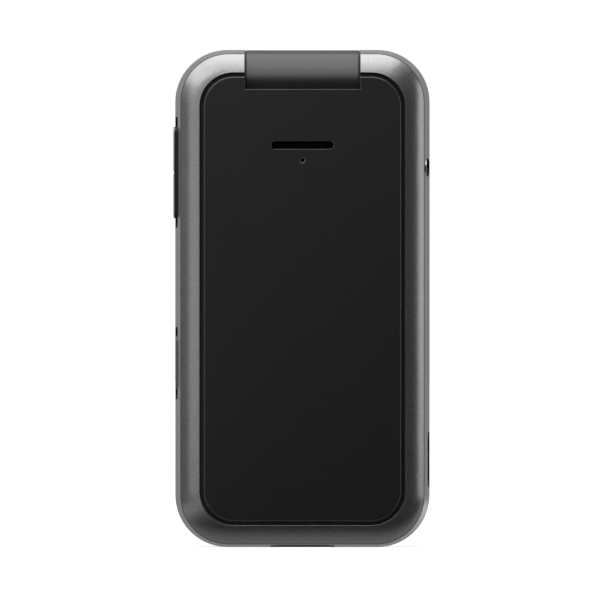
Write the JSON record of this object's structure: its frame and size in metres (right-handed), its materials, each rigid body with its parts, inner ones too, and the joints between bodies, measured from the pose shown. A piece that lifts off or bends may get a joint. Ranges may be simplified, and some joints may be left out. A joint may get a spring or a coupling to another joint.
{
  "type": "flip phone",
  "caption": "Closed flip phone with a hinged lid, keypad inside, removable battery cover and side keys, standing on its bottom end.",
  "frame": {"origin": "on the floor under the middle of the closed phone, which stands on its bottom end", "axes": "+Z along the phone towards the hinge, +X to the right in the back view, +Y out of the lid's face"},
  "size_m": [0.0556, 0.0188, 0.1079],
  "materials": {
    "metallic_grey": "satin metallic grey paint on moulded plastic",
    "barrel_grey": "darker satin metallic grey paint",
    "matt_black": "matt black, fine texture, glossy cut edge",
    "key_black": "satin black key caps with plain white marks",
    "gloss_black": "glossy black",
    "glass_clear": "clear window",
    "board_green": "solder-masked circuit board",
    "steel": "plain bright steel",
    "gold": "gold-plated contacts",
    "rubber": "soft rubber",
    "battery_grey": "plain grey battery wrap",
    "inner_plastic": "black moulded plastic",
    "flex_amber": "amber flexible circuit",
    "display_black": "dark display glass",
    "frosted": "frosted clear plastic"
  },
  "bodies": {
    "base": {"rear_housing": "metallic_grey", "keypad_frame": "metallic_grey", "main_board": "board_green", "shield_cans": "steel", "key_domes": "steel", "side_switches": "inner_plastic", "loudspeaker": "inner_plastic", "vibration_motor": "steel", "microphones": "inner_plastic", "usb_connector": "steel", "port_bezel": "inner_plastic", "audio_jack": "inner_plastic", "sim_holder": "steel", "battery_contacts": "gold", "base_screws": "steel", "hinge_cam_shaft": "steel", "hinge_bush": "inner_plastic"},
    "cover": {"battery_cover": "metallic_grey", "back_panel": "matt_black", "speaker_mesh": "matt_black"},
    "battery": {"battery": "battery_grey"},
    "lid": {"lid_outer_shell": "metallic_grey", "lid_inner_shell": "inner_plastic", "hinge_barrel": "barrel_grey", "hinge_sleeve": "steel", "hinge_spring": "steel", "hinge_follower": "steel", "hinge_flex": "flex_amber", "display_window": "glass_clear", "main_display": "display_black", "lid_board": "board_green", "outer_display": "display_black", "outer_window": "gloss_black", "camera_ring": "steel", "camera_lens": "glass_clear", "camera_module": "inner_plastic", "flash_lens": "frosted", "earpiece": "inner_plastic", "lid_bumpers": "rubber", "lid_screws": "steel"},
    "key_1": {"key_1": "key_black"},
    "key_2": {"key_2": "key_black"},
    "key_3": {"key_3": "key_black"},
    "key_4": {"key_4": "key_black"},
    "key_5": {"key_5": "key_black"},
    "key_6": {"key_6": "key_black"},
    "key_7": {"key_7": "key_black"},
    "key_8": {"key_8": "key_black"},
    "key_9": {"key_9": "key_black"},
    "key_star": {"key_star": "key_black"},
    "key_0": {"key_0": "key_black"},
    "key_hash": {"key_hash": "key_black"},
    "call_key": {"call_key": "key_black"},
    "end_key": {"end_key": "key_black"},
    "soft_key_left": {"soft_key_left": "key_black"},
    "soft_key_right": {"soft_key_right": "key_black"},
    "centre_key": {"centre_key": "key_black"},
    "nav_ring": {"nav_ring": "key_black"},
    "volume_rocker": {"volume_rocker": "key_black"},
    "emergency_key": {"emergency_key": "key_black"}
  },
  "joints": [
    {"name": "flip", "type": "hinge", "parent": "base", "child": "lid", "pos_m": [0, 0, 0.1006], "axis": [1, 0, 0], "range_deg": [0, 160]},
    {"name": "cover_release", "type": "slide", "parent": "base", "child": "cover", "axis": [0, -1, 0], "range_m": [0, 0.04]},
    {"name": "battery_lift", "type": "slide", "parent": "base", "child": "battery", "axis": [0, -1, 0], "range_m": [0, 0.016]},
    {"name": "key_1_press", "type": "slide", "parent": "base", "child": "key_1", "axis": [0, -1, 0], "range_m": [0, 0.0003], "stiffness_N_per_m": 4000},
    {"name": "key_2_press", "type": "slide", "parent": "base", "child": "key_2", "axis": [0, -1, 0], "range_m": [0, 0.0003], "stiffness_N_per_m": 4000},
    {"name": "key_3_press", "type": "slide", "parent": "base", "child": "key_3", "axis": [0, -1, 0], "range_m": [0, 0.0003], "stiffness_N_per_m": 4000},
    {"name": "key_4_press", "type": "slide", "parent": "base", "child": "key_4", "axis": [0, -1, 0], "range_m": [0, 0.0003], "stiffness_N_per_m": 4000},
    {"name": "key_5_press", "type": "slide", "parent": "base", "child": "key_5", "axis": [0, -1, 0], "range_m": [0, 0.0003], "stiffness_N_per_m": 4000},
    {"name": "key_6_press", "type": "slide", "parent": "base", "child": "key_6", "axis": [0, -1, 0], "range_m": [0, 0.0003], "stiffness_N_per_m": 4000},
    {"name": "key_7_press", "type": "slide", "parent": "base", "child": "key_7", "axis": [0, -1, 0], "range_m": [0, 0.0003], "stiffness_N_per_m": 4000},
    {"name": "key_8_press", "type": "slide", "parent": "base", "child": "key_8", "axis": [0, -1, 0], "range_m": [0, 0.0003], "stiffness_N_per_m": 4000},
    {"name": "key_9_press", "type": "slide", "parent": "base", "child": "key_9", "axis": [0, -1, 0], "range_m": [0, 0.0003], "stiffness_N_per_m": 4000},
    {"name": "key_star_press", "type": "slide", "parent": "base", "child": "key_star", "axis": [0, -1, 0], "range_m": [0, 0.0003], "stiffness_N_per_m": 4000},
    {"name": "key_0_press", "type": "slide", "parent": "base", "child": "key_0", "axis": [0, -1, 0], "range_m": [0, 0.0003], "stiffness_N_per_m": 4000},
    {"name": "key_hash_press", "type": "slide", "parent": "base", "child": "key_hash", "axis": [0, -1, 0], "range_m": [0, 0.0003], "stiffness_N_per_m": 4000},
    {"name": "call_key_press", "type": "slide", "parent": "base", "child": "call_key", "axis": [0, -1, 0], "range_m": [0, 0.0003], "stiffness_N_per_m": 4000},
    {"name": "end_key_press", "type": "slide", "parent": "base", "child": "end_key", "axis": [0, -1, 0], "range_m": [0, 0.0003], "stiffness_N_per_m": 4000},
    {"name": "soft_key_left_press", "type": "slide", "parent": "base", "child": "soft_key_left", "axis": [0, -1, 0], "range_m": [0, 0.0003], "stiffness_N_per_m": 4000},
    {"name": "soft_key_right_press", "type": "slide", "parent": "base", "child": "soft_key_right", "axis": [0, -1, 0], "range_m": [0, 0.0003], "stiffness_N_per_m": 4000},
    {"name": "centre_key_press", "type": "slide", "parent": "base", "child": "centre_key", "axis": [0, -1, 0], "range_m": [0, 0.0003], "stiffness_N_per_m": 4000},
    {"name": "nav_ring_rock", "type": "hinge", "parent": "base", "child": "nav_ring", "pos_m": [0, 0, 0.0703], "axis": [1, 0, 0], "range_deg": [-1, 1], "stiffness_Nm_per_rad": 0.8},
    {"name": "volume_rocker_rock", "type": "hinge", "parent": "base", "child": "volume_rocker", "pos_m": [-0.0258, -0.00345, 0.0813], "axis": [0, 1, 0], "range_deg": [-1, 1], "stiffness_Nm_per_rad": 0.8},
    {"name": "emergency_key_press", "type": "slide", "parent": "base", "child": "emergency_key", "axis": [1, 0, 0], "range_m": [0, 0.0003], "stiffness_N_per_m": 4000}
  ],
  "couplings": [
    {"joint": "battery_lift", "follows": "cover_release", "ratio": 0.4}
  ]
}
